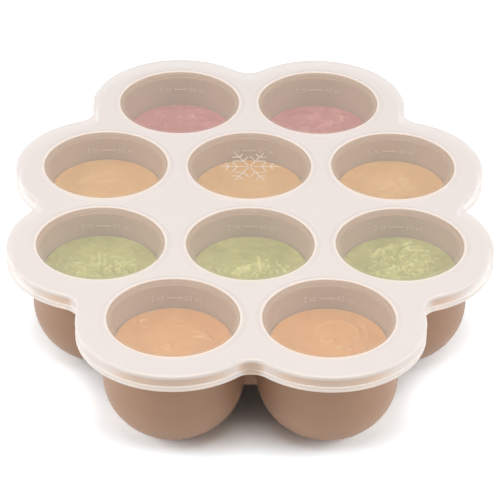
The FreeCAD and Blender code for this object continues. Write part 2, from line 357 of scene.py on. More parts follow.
def makeFrostInk():
    finish = Finish("frost_ink")
    grain = finish.clouds(frostInk["grain"])
    (rough, roughStep), (cover, coverStep) = frostInk["roughness"], frostInk["cover"]
    finish.give(
        Base_Color=finish.mix(grain, frostInk["body"], frostInk["shade"]),
        Roughness=rough + roughStep * grain,
        Alpha=cover + coverStep * grain,
    )
    return finish.material


# Shapes shared by tray, lid and food

places = [name[len("cup_"):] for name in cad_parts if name.startswith("cup_")]
outerCups = [  # counter-clockwise
    "front_left", "front_right", "lower_right", "upper_right",
    "back_right", "back_left", "upper_left", "lower_left",
]


def boxOf(node):
    low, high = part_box(node)
    return np.array(low) / mm, np.array(high) / mm


def middleOf(node):
    low, high = boxOf(node)
    return (low[:2] + high[:2]) / 2


cupMiddles = {place: middleOf("cup_" + place) for place in places}
cupLow, cupHigh = boxOf("cup_front_left")
deckLow, deckHigh = boxOf("tray_deck")
lidLow, lidHigh = boxOf("lid")

tray = {
    "cupRadius": (cupHigh[0] - cupLow[0]) / 2,
    "mouthHeight": deckHigh[2],
    "rimBottom": deckLow[2],
    "rimRadius": deckHigh[0] - cupMiddles["upper_right"][0],  # of a lobe about its cup
    "straightDepth": 25.0,
    "footRadius": 9.0,
    "mouthLand": 2.9,  # flat ring round a mouth
    "mouthRound": 0.35,  # crisper than the frame's, with the wall below it in the same place
    "wallDraft": 2.2,
    "floorThickness": 2.5,
    "floorRadius": 9.0,
    "rimWall": 3.0,
    "rimRound": 1.8,
    "notchRadius": 10.9,
    "deckThickness": 2.4,
    "webDepth": 30.8,
    "webThickness": 2.4,
    "edgeRound": 0.5,  # lower edges of the rim
    "cupFillet": 1.1,  # under the deck round each cup
    "rimFillet": 0.8,
    "strip": 0.4,  # flat border beside a rounding, so that its shade ends there
    "paleAndLit": 0.33,  # the attribute inside the cups: painted light on their walls
}
mouthRadius = tray["cupRadius"] - tray["mouthLand"]
wallTop = mouthRadius - tray["mouthRound"]
wallTopHeight = tray["mouthHeight"] - tray["mouthRound"]
wallBottom = wallTop - tray["wallDraft"]
bowlHeight = tray["mouthHeight"] - tray["straightDepth"]
wallSlope = tray["wallDraft"] / (wallTopHeight - bowlHeight)
underside = tray["mouthHeight"] - tray["deckThickness"]

detail = {"cup": 84, "lobe": 32, "notch": 12}  # steps round a cup, a lobe and a notch
near = {"profile": 1e-6, "face": 1e-5, "mesh": 0.002}  # points that are as near as this become one


def arc(middle, radius, first, last, steps):
    # points at a radius from the middle, their direction going evenly from one angle to another
    turn = np.radians(np.linspace(first, last, steps + 1))
    return np.array(middle) + radius * np.stack([np.cos(turn), np.sin(turn)], axis=1)


def bend(start, along, end, steps):
    # the arc that leaves start in a given direction and passes end: its middle lies on the normal
    # at start, at chord squared over twice the chord's part along that normal
    start, end = np.array(start, float), np.array(end, float)
    along = np.array(along, float) / np.linalg.norm(along)
    normal = np.array([-along[1], along[0]])
    chord = end - start
    middle = start + normal * chord.dot(chord) / (2 * normal.dot(chord))
    first, last = (math.atan2(*(point - middle)[::-1]) for point in (start, end))
    turn = math.remainder(last - first, 2 * math.pi)
    radius = np.linalg.norm(start - middle)
    return arc(middle, radius, math.degrees(first), math.degrees(first + turn), steps)


def line(start, end, steps):
    return np.linspace(start, end, steps + 1)


def slowed(steps):  # 0 to 1 by half a cosine wave, in steps that are short at both ends
    return (1 - np.cos(np.linspace(0, math.pi, steps + 1))) / 2


def wave(start, end, steps=8):  # level at both ends, with half a cosine wave between them
    offset, height = line(start, end, steps).T
    return np.stack([offset, start[1] + (end[1] - start[1]) * slowed(steps)], axis=1)


def ease(value, low, high):  # 0 below low, 1 above high, and a smooth step between them
    share = np.clip((value - low) / (high - low), 0, 1)
    return share * share * (3 - 2 * share)


def profile(*stretches):  # stretches of points in a row, without their doubled ends
    points = np.concatenate([np.atleast_2d(np.array(stretch, float)) for stretch in stretches])
    keep = np.ones(len(points), bool)
    keep[1:] = np.linalg.norm(np.diff(points, axis=0), axis=1) > near["profile"]
    return points[keep]


def lobedPath():
    # points and outward normals on the rim: each lobe is an arc about its cup, and each notch an arc
    # about the point outside that lies lobe radius + notch radius from both cups beside it; and how
    # far into a notch each point is, 1 at its middle
    here = np.array([cupMiddles[name] for name in outerCups])
    there = np.roll(here, -1, axis=0)
    step = there - here
    length = np.linalg.norm(step, axis=1, keepdims=True)
    outward = np.stack([step[:, 1], -step[:, 0]], axis=1) / length
    lobe, notch = tray["rimRadius"], tray["notchRadius"]
    hollow = (here + there) / 2 + outward * np.sqrt((lobe + notch) ** 2 - length ** 2 / 4)

    def sweep(middle, begin, end, radius, sign, steps):
        # directions from begin to end, counter-clockwise where sign is 1 and clockwise where -1
        first = np.arctan2(*(begin - middle).T[::-1])
        last = np.arctan2(*(end - middle).T[::-1])
        turn = sign * np.mod(sign * (last - first), 2 * math.pi)
        angle = first[:, None] + turn[:, None] * np.arange(steps) / steps
        ray = np.stack([np.cos(angle), np.sin(angle)], axis=-1)
        return middle[:, None] + radius * ray, sign * ray

    before = np.roll(hollow, 1, axis=0)
    lobes, lobeNormals = sweep(here, before, hollow, lobe, 1, detail["lobe"])
    notches, notchNormals = sweep(hollow, here, there, notch, -1, detail["notch"])
    points = np.concatenate([lobes, notches], axis=1).reshape(-1, 2)
    normals = np.concatenate([lobeNormals, notchNormals], axis=1).reshape(-1, 2)
    into = np.sin(np.linspace(0, math.pi, detail["notch"], endpoint=False))
    depth = np.tile(np.concatenate([np.zeros(detail["lobe"]), into]), len(outerCups))
    return points, normals, depth


rimPoints, rimNormals, notchDepth = lobedPath()


def lifted(flat, height):  # rows of points on a plane, put at their heights
    return np.concatenate([flat, np.broadcast_to(height[..., None], (*flat.shape[:2], 1))], axis=2)


def carried(section):
    # a profile of offset and height carried along the rim: rim point + normal x offset, at the height
    offset, height = section.T
    return lifted(rimPoints + offset[:, None, None] * rimNormals, height[:, None])


def turned(section, middle, steps=detail["cup"]):
    # a profile of radius and height turned about a cup's axis
    radius, height = section.T
    angle = np.linspace(0, 2 * math.pi, steps, endpoint=False)
    around = np.stack([np.cos(angle), np.sin(angle)], axis=1)
    return lifted(middle + radius[:, None, None] * around, height[:, None])


def quads(rows, columns):  # the faces between rows of points, each row closed on itself
    index = np.arange(rows * columns).reshape(rows, columns)
    beside = np.roll(index, -1, axis=1)
    return np.stack([index[:-1], beside[:-1], beside[1:], index[1:]], axis=-1).reshape(-1, 4)


class Shell:  # gathers surfaces and makes them one closed mesh
    def __init__(self, attribute=None):
        self.attribute = attribute
        self.points, self.faces, self.values = [], [], []
        self.count = 0

    def add(self, points, faces, values=0.0):
        self.points.append(points)
        self.values.append(np.broadcast_to(values, len(points)))
        self.faces += [[int(corner) + self.count for corner in face] for face in faces]
        self.count += len(points)

    def grid(self, points, values=0.0):
        # rows of points, each row closed on itself; a row shrunk to one point becomes a pole
        shape = points.shape[:2]
        values = np.array(values, float)
        spread = np.broadcast_to(values[:, None] if values.ndim == 1 else values, shape).ravel()
        self.add(points.reshape(-1, 3), quads(*shape), spread)

    def flat(self, outer, holes, height, value=0.0):
        # the level face between a loop and the holes in it, as Delaunay triangles of their points
        loops = [outer, *holes]
        starts = np.cumsum([0, *(len(loop) for loop in loops[:-1])])
        edges = np.concatenate([
            np.stack([np.arange(len(loop)), np.roll(np.arange(len(loop)), -1)], axis=1) + start
            for loop, start in zip(loops, starts)
        ])
        corners = np.concatenate(loops).tolist()
        found = delaunay_2d_cdt(corners, edges.tolist(), [], 0, near["face"])
        points, faces = np.array(found[0]), np.array(found[2])
        centre = points[faces].mean(axis=1)
        wanted = inside(centre, outer)
        for hole in holes:
            wanted &= ~inside(centre, hole)
        self.add(np.column_stack([points, np.full(len(points), height)]), faces[wanted], value)

    def build(self, name, material, sharp=38):  # degrees past which an edge isn't shaded smooth
        mesh = bpy.data.meshes.new(name)
        mesh.from_pydata((np.concatenate(self.points) * mm).tolist(), [], self.faces)
        if self.attribute:
            layer = mesh.attributes.new(self.attribute, "FLOAT", "POINT")
            layer.data.foreach_set("value", np.concatenate(self.values).astype(np.float32))
        work = bmesh.new()
        work.from_mesh(mesh)
        bmesh.ops.remove_doubles(work, verts=work.verts, dist=near["mesh"] * mm)
        bmesh.ops.recalc_face_normals(work, faces=work.faces)
        loose = [edge for edge in work.edges if not edge.is_manifold]
        print(f"{name}: {len(work.faces)} faces, {len(loose)} open edges")
        work.to_mesh(mesh)
        work.free()
        mesh.shade_smooth()
        mesh.set_sharp_from_angle(angle=math.radians(sharp))
        mesh.materials.append(material)
        return add(name, mesh)


def inside(points, loop):
    # whether each point lies in a loop: it does if a ray along +X crosses the loop an odd number of times
    here, there = loop, np.roll(loop, -1, axis=0)
    x, y = points[:, :1], points[:, 1:]
    spans = (here[:, 1] > y) != (there[:, 1] > y)
    slope = (there[:, 0] - here[:, 0]) / np.where(there[:, 1] == here[:, 1], 1, there[:, 1] - here[:, 1])
    return (spans & (x < here[:, 0] + slope * (y - here[:, 1]))).sum(axis=1) % 2 == 1


def cupInside(gap=0.0):
    # from the foot of the straight wall down to the middle of the floor, a gap smaller
    lean = np.array([wallBottom - wallTop, bowlHeight - wallTopHeight])
    bottom = (wallBottom - gap, bowlHeight)
    floor = (tray["floorRadius"], tray["floorThickness"] + gap)
    return bottom, bend(bottom, lean, floor, steps=20), line(floor, (0, floor[1]), steps=3)


def cupOutside(height):
    # radius of the cup's outside at a height: straight above the bowl, and below it the arc that
    # leaves the wall plumb and ends at the foot
    inset = tray["cupRadius"] - tray["footRadius"]
    bowlRadius = (inset ** 2 + bowlHeight ** 2) / (2 * inset)
    below = np.clip(bowlHeight - np.asarray(height, float), 0, None)
    return tray["cupRadius"] - bowlRadius + np.sqrt(bowlRadius ** 2 - below ** 2)


# The tray: one soft moulding

marks = {
    "words": {"2 oz": "RIGHT", "60 ml": "LEFT"},  # each word and the end that is next to the dash
    "depth": 5.6,  # below the mouth
    "letter": 3.3,
    "letterSteps": 3,  # in each of its curves
    "reach": 4.3,  # from the middle to a word
    "dash": (6.4, 0.45),  # length and width
    "dashRise": -0.2,
    "dashSteps": 8,
    "height": 0.25,
}


def markShapes():
    # the words and the dash between them as flat-topped blocks, x across, y up and z their height
    shapes = []
    for word, end in marks["words"].items():
        curve = bpy.data.curves.new(word, "FONT")
        curve.body, curve.size, curve.align_x, curve.align_y = word, marks["letter"], end, "CENTER"
        curve.extrude = marks["height"]
        curve.resolution_u = marks["letterSteps"]
        holder = bpy.data.objects.new(word, curve)
        mesh = bpy.data.meshes.new_from_object(holder)
        local = np.zeros(len(mesh.vertices) * 3)
        mesh.vertices.foreach_get("co", local)
        local = local.reshape(-1, 3) + [marks["reach"] * (-1 if end == "RIGHT" else 1), 0, 0]
        shapes.append((local, [list(face.vertices) for face in mesh.polygons]))
        bpy.data.objects.remove(holder)
        bpy.data.curves.remove(curve)
        bpy.data.meshes.remove(mesh)
    length, width = marks["dash"]
    stations = line(-length / 2, length / 2, marks["dashSteps"])
    square = np.array([(-1, -1), (-1, 1), (1, 1), (1, -1)]) * [width / 2, marks["height"]]
    square += [marks["dashRise"], 0]
    dash = np.concatenate([
        np.repeat(stations, len(square))[:, None], np.tile(square, (len(stations), 1)),
    ], axis=1)
    cap = np.arange(len(square))
    sides = quads(len(stations), len(square)).tolist()
    shapes.append((dash, [*sides, cap[::-1].tolist(), (len(dash) - len(square) + cap).tolist()]))
    return shapes


def addMarks(shell):
    # x runs round the cup's far wall, y up it and z towards the cup's axis
    for local, faces in markShapes():
        height = tray["mouthHeight"] - marks["depth"] + local[:, 1]
        wall = wallTop - wallSlope * (wallTopHeight - height)
        radius = wall - local[:, 2]
        angle = local[:, 0] / wallTop
        wrapped = np.stack([radius * np.sin(angle), radius * np.cos(angle), height], axis=1)
        for middle in cupMiddles.values():
            shell.add(wrapped + [*middle, 0], faces, 1.0)


def makeTray(material):
    top, cupRadius, strip = tray["mouthHeight"], tray["cupRadius"], tray["strip"]
    rimRound, rimWall, rimBottom = tray["rimRound"], tray["rimWall"], tray["rimBottom"]
    edge, cupFillet, rimFillet = tray["edgeRound"], tray["cupFillet"], tray["rimFillet"]
    shell = Shell("paleAndLit")
    section = profile(
        (-rimRound - strip, top),
        arc((-rimRound, top - rimRound), rimRound, 90, 0, steps=7),
        arc((-edge, rimBottom + edge), edge, 0, -90, steps=4),
        arc((edge - rimWall, rimBottom + edge), edge, -90, -180, steps=4),
        arc((-rimWall - rimFillet, underside - rimFillet), rimFillet, 0, 90, steps=4),
        (-rimWall - rimFillet - strip, underside),
    )
    rim = carried(section)
    shell.grid(rim)
    bottom, bowl, floor = cupInside()
    insideSection = profile(
        (mouthRadius + strip, top),
        arc((mouthRadius, wallTopHeight), tray["mouthRound"], 90, 180, steps=6),
        line((wallTop, wallTopHeight), bottom, steps=6),
        bowl,
        floor,
    )
    bowlHeights = line(bowlHeight, 0, steps=24)
    outsideSection = profile(
        (cupRadius + cupFillet + strip / 2, underside),
        arc((cupRadius + cupFillet, underside - cupFillet), cupFillet, 90, 180, steps=5),
        line((cupRadius, underside - cupFillet), (cupRadius, bowlHeight), steps=3),
        np.stack([cupOutside(bowlHeights), bowlHeights], axis=1),
        line((tray["footRadius"], 0), (0, 0), steps=3),
    )
    mouths, roots = [], []
    for middle in cupMiddles.values():
        inner = turned(insideSection, middle)
        outer = turned(outsideSection, middle)
        # the mouth's land and rounding keep the outside colour: a painted shade that tones down their light
        # beside the walls' painted light
        shell.grid(inner, np.where(insideSection[:, 0] > wallTop + strip / 4, 0, tray["paleAndLit"]))
        shell.grid(outer)
        mouths.append(inner[0, :, :2])
        roots.append(outer[0, :, :2])
    shell.flat(rim[0, :, :2], mouths, top)
    shell.flat(rim[-1, :, :2], roots, underside)
    addWebs(shell)
    addMarks(shell)
    return shell.build("silicone_tray", material)


web = {
    "flare": 1.3,  # quarter circle by which a web widens into a cup
    "sink": 1.0,  # how far it reaches into the cups and the deck
    "across": 14,  # steps from one cup to the next
    "slack": 0.5,  # by which two neighbours' distance may differ from the pitch
}


def addWebs(shell):
    # a web's section is a tall loop with a round lower edge; it is carried from one cup's outside to
    # the next one's, and grows thicker towards both by the flare's quarter circle
    half, flare, sink = tray["webThickness"] / 2, web["flare"], web["sink"]
    low = tray["mouthHeight"] - tray["webDepth"]
    high = underside + sink
    loop = profile(
        line((half, high), (half, low + half), steps=8),
        arc((0, low + half), half, 0, -180, steps=8),
        line((-half, low + half), (-half, high), steps=8),
    )
    side, height = loop.T
    wall = cupOutside(height)
    pitch = max(
        np.linalg.norm(cupMiddles["upper_left"] - cupMiddles["upper_centre"]),
        np.linalg.norm(cupMiddles["upper_centre"] - cupMiddles["lower_centre"]),
    )
    names = list(cupMiddles)
    stations = slowed(web["across"])[:, None]
    for index, first in enumerate(names):
        for second in names[index + 1:]:
            start, end = cupMiddles[first], cupMiddles[second]
            span = np.linalg.norm(end - start)
            if span > pitch + web["slack"]:
                continue
            ahead = (end - start) / span
            aside = np.array([-ahead[1], ahead[0]])
            gap = span - 2 * wall
            along = stations * gap
            short = np.clip(flare - np.minimum(along, gap - along), 0, None)
            extra = flare - np.sqrt(np.clip(flare ** 2 - short ** 2, 0, None))
            along[0] -= sink
            along[-1] += sink
            wide = side + np.sign(side) * np.where(height > low + half, 1, 0) * extra
            flat = start + (wall + along)[..., None] * ahead + wide[..., None] * aside
            shell.grid(lifted(flat, height))
            cap = shell.count - len(side) + np.arange(len(side))
            shell.faces += [cap.tolist(), (cap - web["across"] * len(side))[::-1].tolist()]


# The lid: milky where it is thick, nearly clear over the cups

crestRise = 0.5  # how far the rings round the windows stand above the plate
lid = {
    "top": lidHigh[2] - crestRise,
    "bottom": lidLow[2],
    "thickness": 1.7,
    "windowThickness": 1.3,
    "windowLap": 0.5,  # how far a window reaches past the mouth's own radius
    "edge": 2.45,  # how far the plate and the lip stand out from the tray's rim
    "edgeRound": 1.0,  # crisper than the frame's
    "skirtInside": 0.4,
    "skirtOutside": 2.0,
    "innerRound": 1.6,
    "plateDepth": 1.75,  # lower edge of the plate's own rim
    "lipThickness": 2.4,
    "lipGroove": 0.14,  # depth of the groove round the lip's face
    "grooveReach": 0.75,  # half its height
    "corner": 0.22,  # small roundings
    "strip": 0.4,  # as on the tray
}
windowRadius = mouthRadius + lid["windowLap"]
crest = {  # the raised ring round a window: radii from its foot to the clear glass
    "foot": windowRadius + 3.3,
    "outer": windowRadius + 1.2,
    "inner": windowRadius + 0.7,
    "glass": windowRadius - 0.2,
    "fade": 0.3,  # over which the crest's cream fades
    "slopeFade": 0.45,  # from the crest to where its slope is as clear as the window's border
    "haze": 2.2,  # width of that border
}
milk = {
    # the crests' outer slope is a little clearer than the plate, a painted shade, and the window's border
    # milkier than the window, painted light over the shaded deck seen through it
    "plate": 0.88, "slope": 0.845, "crest": 0.97, "window": 0.28, "border": 0.38,
    "underside": 0.05,
    "notch": 0.62,  # painted shade: the skirt and lip fall to this milk, browner, most in the notches at front and back
    # each at front and back, and at the sides; the difference is painted light: the skirt lighter at the
    # sides, the lip darker there as painted shade, and a painted highlight in the crest colour on the front
    # of the shoulder
    "skirt": (0.69, 0.84), "lip": (0.97, 0.9), "shoulderHighlight": (0.97, 0.88),
    "turn": (0.3, 0.7),  # how far a face looks sideways where the one gives way to the other
    # where they change up the outside: heights from the lip's top and from the plate's lower edge,
    # and shares of the shoulder's rounding below the lid's top
    "lipChange": (-0.1, 0.15), "skirtChange": (-0.3, 0.1), "shoulderChange": (0.7, 0.45, 0.08, 0.03),
}


def makeLid(material):
    top, bottom, strip, corner = lid["top"], lid["bottom"], lid["strip"], lid["corner"]
    under = top - lid["thickness"]
    edge, wall, hollow = lid["edge"], lid["skirtOutside"], lid["skirtInside"]
    rounded, inner = lid["edgeRound"], lid["innerRound"]
    plateBottom, lipTop = top - lid["plateDepth"], bottom + lid["lipThickness"]
    shell = Shell("milk")
    sweep = line(-1, 1, steps=8)  # the lip's face: a bell-shaped groove between its two edges
    groove = np.stack([
        edge - lid["lipGroove"] * np.cos(sweep * math.pi / 2) ** 2,
        (lipTop + bottom) / 2 - sweep * lid["grooveReach"],
    ], axis=1)
    outer = profile(
        (edge - rounded - strip, top),
        arc((edge - rounded, top - rounded), rounded, 90, 0, steps=9),
        arc((edge - corner, plateBottom + corner), corner, 0, -90, steps=3),
        arc((wall + corner, plateBottom - corner), corner, 90, 180, steps=3),
        arc((wall + corner, lipTop + corner), corner, 180, 270, steps=3),
        arc((edge - corner, lipTop - corner), corner, 90, 0, steps=3),
        groove,
        arc((edge - corner, bottom + corner), corner, 0, -90, steps=3),
    )
    within = profile(
        arc((hollow + corner, bottom + corner), corner, -90, -180, steps=3),
        arc((hollow - inner, under - inner), inner, 0, 90, steps=6),
        (hollow - inner - strip, under),
    )
    plate = milk["plate"]
    bounds = [
        *(lipTop + step for step in milk["lipChange"]),
        *(plateBottom + step for step in milk["skirtChange"]),
        *(top - rounded * share for share in milk["shoulderChange"]),
    ]
    # milk facing front and back and facing sideways: the difference paints light and shade on the rim, with
    # a painted highlight on the front shoulder
    faced, aside = (
        np.interp(outer[:, 1], bounds, [lip, skirt, skirt, plate, plate, shoulderHighlight, shoulderHighlight, plate])
        for lip, skirt, shoulderHighlight in zip(milk["lip"], milk["skirt"], milk["shoulderHighlight"])
    )
    sideways = ease(np.abs(rimNormals[:, 0]), *milk["turn"])
    thick = faced[:, None] + (aside - faced)[:, None] * sideways
    # painted shade: below the plate the rim turns clearer and browner deep in the front and back notches
    below = (outer[:, 1] < plateBottom)[:, None] * notchDepth * (1 - sideways)
    thick -= below * np.clip(thick - milk["notch"], 0, None)
    rim = carried(np.concatenate([outer, within]))
    shell.grid(rim, np.concatenate([thick, np.full((len(within), len(rimPoints)), milk["underside"])]))
    crestTop, glass = lidHigh[2], under + lid["windowThickness"]
    ring = profile(
        (crest["foot"] + strip / 2, top),
        wave((crest["foot"], top), (crest["outer"], crestTop)),
        wave((crest["inner"], crestTop), (crest["glass"], glass)),
        line((crest["glass"] - crest["haze"], glass), (0, glass), steps=4),
    )
    fade = crest["fade"]
    ringMilk = np.interp(ring[:, 0], [
        crest["glass"] - crest["haze"], crest["glass"], crest["inner"] - crest["slopeFade"],
        crest["inner"] - fade, crest["inner"], crest["outer"], crest["outer"] + fade,
        crest["foot"] - fade, crest["foot"],
    ], [
        milk["window"], milk["border"], milk["border"],
        milk["slope"], milk["crest"], milk["crest"], milk["slope"],
        milk["slope"], plate,
    ])
    rings, panes = [], []
    for middle in cupMiddles.values():
        upper = turned(ring, middle)
        shell.grid(upper, ringMilk)
        rings.append(upper[0, :, :2])
        lower = turned(line((windowRadius, under), (0, under), steps=4), middle)
        shell.grid(lower, milk["underside"])
        panes.append(lower[0, :, :2])
    shell.flat(rim[0, :, :2], rings, top, plate)
    shell.flat(rim[-1, :, :2], panes, under, milk["underside"])
    return shell.build("silicone_lid", material)


# A frost flake in thin raised lines on one window

flake = {
    "place": "upper_centre",
    "arms": 6,
    "arm": 13,
    "start": 0.4,  # the arms stop this short of the middle
    "twigs": ((5.2, 4.6), (8.8, 3.2)),  # where on an arm each pair starts, and its length
    "lean": 60,  # degrees from the arm
    "width": 0.52,
    "height": 0.2,
    "around": 10,  # steps round a bar and along it
    "along": 8,
    "taper": 8,  # power by which a bar thins: the higher, the nearer to its ends
}


def makeFlake(material):
    # each bar is a flat ellipse carried along its length and drawn in to a point at both ends
    shell = Shell()
    middle = cupMiddles[flake["place"]]
    level = lid["top"] - lid["thickness"] + lid["windowThickness"]
    around = np.linspace(0, 2 * math.pi, flake["around"], endpoint=False)
    stations = slowed(flake["along"])
    taper = np.sqrt(np.clip(1 - (2 * stations - 1) ** flake["taper"], 0, 1))

    def bar(start, end):
        ahead = (end - start) / np.linalg.norm(end - start)
        aside = np.array([-ahead[1], ahead[0]])
        spine = start + stations[:, None] * (end - start)
        wide = taper[:, None] * np.cos(around) * flake["width"] / 2
        rise = taper[:, None] * np.sin(around) * flake["height"]
        flat = spine[:, None] + wide[..., None] * aside
        shell.grid(np.concatenate([flat, (level + rise)[..., None]], axis=2))

    for turn in np.radians(np.arange(flake["arms"]) * 360 / flake["arms"]):
        ray = np.array([math.cos(turn), math.sin(turn)])
        bar(middle + ray * flake["start"], middle + ray * flake["arm"])
        for reach, length in flake["twigs"]:
            for lean in np.radians([-flake["lean"], flake["lean"]]):
                twig = np.array([math.cos(turn + lean), math.sin(turn + lean)])
                bar(middle + ray * reach, middle + ray * reach + twig * length)
    return shell.build("frost_flake", material)


# Food portions

# All lengths are from the cup's middle. A stroke is a ridge from one point to another: x, y, x, y,
# width, height. A ring is x, y, radius, width, height and the two directions it runs between.
# A lumpy patch is x, y, its reach across and along, and how many lumps it has; lump is the least and
# the most width of a lump, and its height.
foods = {
    "berry": {
        "berry_puree_left": {
            "seed": 11,
            "strokes": (
                (-3, 22, 1, 21.5, 1.1, 0.3), (6, 18.8, 11, 18, 1.1, 0.25), (-12, 15, -9, 16, 1.4, 0.3),
            ),
            "rings": ((5.5, 6.5, 1.6, 0.8, 0.25, 20, 220), (1.4, 14.8, 2.2, 0.8, 0.25, 160, 330)),
            "lumpy": ((-7, 11, 11, 9, 30), (6, 12, 12, 9, 34)),
            "lump": (0.5, 1, 0.45),
        },
        "berry_puree_right": {
            "seed": 12,
            "strokes": (
                (-11.2, 12.3, -1.4, 10.8, 0.6, 0.4), (-9, 14.2, -2, 13.2, 0.7, 0.25),
                (-2, 2.2, 3, 2.6, 0.7, 0.35), (3, 6.4, 7, 5.4, 0.7, 0.35), (8, 15.5, 11, 14, 0.9, 0.3),
            ),
            "rings": ((13.4, 10.4, 1.8, 0.7, 0.35, 10, 230),),
            "lumpy": ((2, 18, 8, 4, 16), (10, 9, 8, 8, 28), (-4, 5, 11, 6, 26)),
            "lump": (0.45, 0.9, 0.5),
        },
    },
    "mango": {
        "mango_puree_left": {
            "seed": 21,
            "strokes": (
                (-3.1, 5.6, 6.6, 7.1, 0.8, 0.22), (-10, 1, -6.5, 0, 1.2, 0.2), (2, 0.5, 8, 1.5, 0.9, 0.18),
            ),
            "rings": ((-3, 4, 8.5, 1.1, 0.14, 30, 190),),
            "lumpy": ((-11, 7, 5, 5, 9),),
            "lump": (0.8, 1.6, 0.28),
        },
        "mango_puree_centre": {
            "seed": 22,
            "strokes": (
                (-0.7, 2.1, 9.1, 1.2, 0.7, 0.22), (0.3, -1.9, 6.9, -0.8, 0.8, 0.22),
                (-12, 6, -7, 8, 1, 0.2),
            ),
            "rings": (),
            "lumpy": ((4, 0, 8, 4, 10),),
            "lump": (0.7, 1.4, 0.25),
        },
        "mango_puree_right": {
            "seed": 23,
            "strokes": (
                (-0.5, 3.7, 1.2, 4.6, 0.7, 0.4), (3.6, 7.8, 5.4, 9, 0.8, 0.4), (-4.4, 1, -3, 1.8, 0.7, 0.3),
                (-2, 13, 5, 12.5, 0.7, 0.25),
            ),
            "rings": ((-12, 11, 2.6, 0.8, 0.2, 0, 300), (1, 4, 7.4, 0.8, 0.25, 300, 420)),
            "lumpy": ((2, 5, 5, 5, 16),),
            "lump": (0.6, 1.2, 0.35),
        },
    },
    "pea": {
        "pea_puree_left": {
            "seed": 31,
            "strokes": (
                (-1.4, 10.4, -1.3, 0.6, 0.55, 0.45), (1.1, 8.9, 1.2, 1.5, 0.5, 0.4),
                (8.4, 0.1, 14.5, 5.3, 0.6, 0.5), (7.6, 2.4, 10.5, 4.8, 0.5, 0.4),
                (12, 1.6, 14.5, 0.6, 0.5, 0.4), (-4.2, 8, -4.6, 2, 0.8, 0.25),
            ),
            "rings": (),
            "lumpy": ((-3, -4, 16, 5, 130), (7, -1.5, 10, 5, 60), (-13, 2, 4, 6, 18), (5, 8, 7, 4, 10)),
            "lump": (0.22, 0.5, 0.7),
        },
        "pea_puree_centre": {
            "seed": 32,
            "strokes": (
                (3.2, 8.5, 3.7, 2, 0.5, 0.6), (3.7, 2, 4.3, -4.4, 0.6, 0.6), (-7.8, -4.5, 0.5, 2, 0.7, 0.5),
                (-5, -4.6, 0, -1, 0.6, 0.5), (7.3, 1.1, 9, -5, 0.45, 0.35), (9.6, 1.8, 12, -5, 0.45, 0.35),
                (12.5, 2.1, 15.5, -4.6, 0.45, 0.35), (15, 2.4, 18.6, -3.6, 0.45, 0.3),
                (9.5, 12.8, 10.3, 13.4, 0.4, 0.3), (11.6, 15, 12.3, 15.3, 0.4, 0.25),
            ),
            "rings": (),
            "lumpy": ((-14, -1.6, 5, 3, 22), (-4, -2.5, 9, 5, 60), (11, -1, 10, 7, 60), (4, 0, 1.6, 7, 12)),
            "lump": (0.22, 0.5, 0.7),
        },
        "pea_puree_right": {
            "seed": 33,
            "strokes": (
                (1.6, 11.4, 11.2, 13.3, 0.4, 0.45), (2.3, 13.6, 10.8, 16, 0.4, 0.4),
                (3, 9.6, 9, 10.6, 0.4, 0.3), (-10.6, 7.9, -7.2, 13.2, 0.7, 0.35),
                (-7.2, 13.2, -1.9, 15.5, 0.7, 0.35), (-1.9, 15.5, 6.8, 19.3, 0.7, 0.35),
            ),
            "rings": (),
            "lumpy": ((3, 4, 15, 11, 230), (-1, -4.5, 16, 4, 80), (-7, 12, 6, 5, 28), (3, 16, 9, 4, 30)),
            "lump": (0.22, 0.48, 0.66),
        },
    },
    "carrot": {
        "carrot_puree_left": {
            "seed": 41,
            "strokes": (
                (6.9, 8.2, 13.4, 3.5, 0.35, 0.6), (7.8, 3.4, 13.8, 2.8, 0.35, 0.75),
                (13, 3.9, 15.6, 1.2, 0.35, 0.6), (10.4, 7.4, 13.4, 6.4, 0.45, 0.4),
                (1.3, 10.9, 4.5, 12.1, 0.6, 0.25), (-3.9, -2.1, -1.3, -3, 0.35, 0.6),
            ),
            "rings": ((-11.3, 12.5, 2.6, 0.35, 0.75, 60, 290), (-2.9, -2.6, 2.2, 0.35, 0.75, 170, 370)),
            "lumpy": (),
        },
        "carrot_puree_right": {
            "seed": 42,
            "strokes": (
                (3.7, -4.7, 9.3, -4.7, 0.4, 0.6), (11.8, -3.6, 15, -3.6, 0.4, 0.5),
                (-3, 3.4, -1, 4.4, 0.4, 0.45), (4.6, 1, 7.2, 1.8, 0.4, 0.45),
            ),
            "rings": (
                (3.4, 5.6, 9.2, 0.6, 0.4, -30, 160), (5, 6.4, 11.2, 0.6, 0.3, -35, 50),
                (-0.8, 2.8, 2.8, 0.35, 0.7, 185, 350), (5.9, -0.6, 3.6, 0.4, 0.8, 185, 360),
            ),
            "lumpy": (),
        },
    },
}
portion = {
    "gap": 0.3,  # to the cup
    "round": 1.2,  # of its upper edge
    "around": 180,  # steps round it
    "across": 64,  # points from its edge to its middle
    "fade": 2.0,  # distance from the edge's rounding over which the relief sets in
    "full": 0.75,  # relief that counts as fully raised
    "sharp": 60,  # degrees past which an edge isn't shaded smooth
}
relief = {  # a pair is the least and the most of what chance gives
    "bow": 0.06,  # how far a stroke bends, to its length
    "ringEnds": 5,  # 1 over the part of a ring that fades at each end
    "lumpRise": (0.3, 1),  # height of a lump, to the tallest
    "pits": 0.4,  # share of the lumps that are pits
    "pitRise": -0.6,
    "spread": 0.5,  # of the lumps over a patch, to its reach
    "lumpLength": (1, 3),  # to a lump's width
    "swells": 14,
    "swellWidth": (3, 6),
    "swellLength": (4, 8),
    "swell": 0.16,  # spread of their heights
}


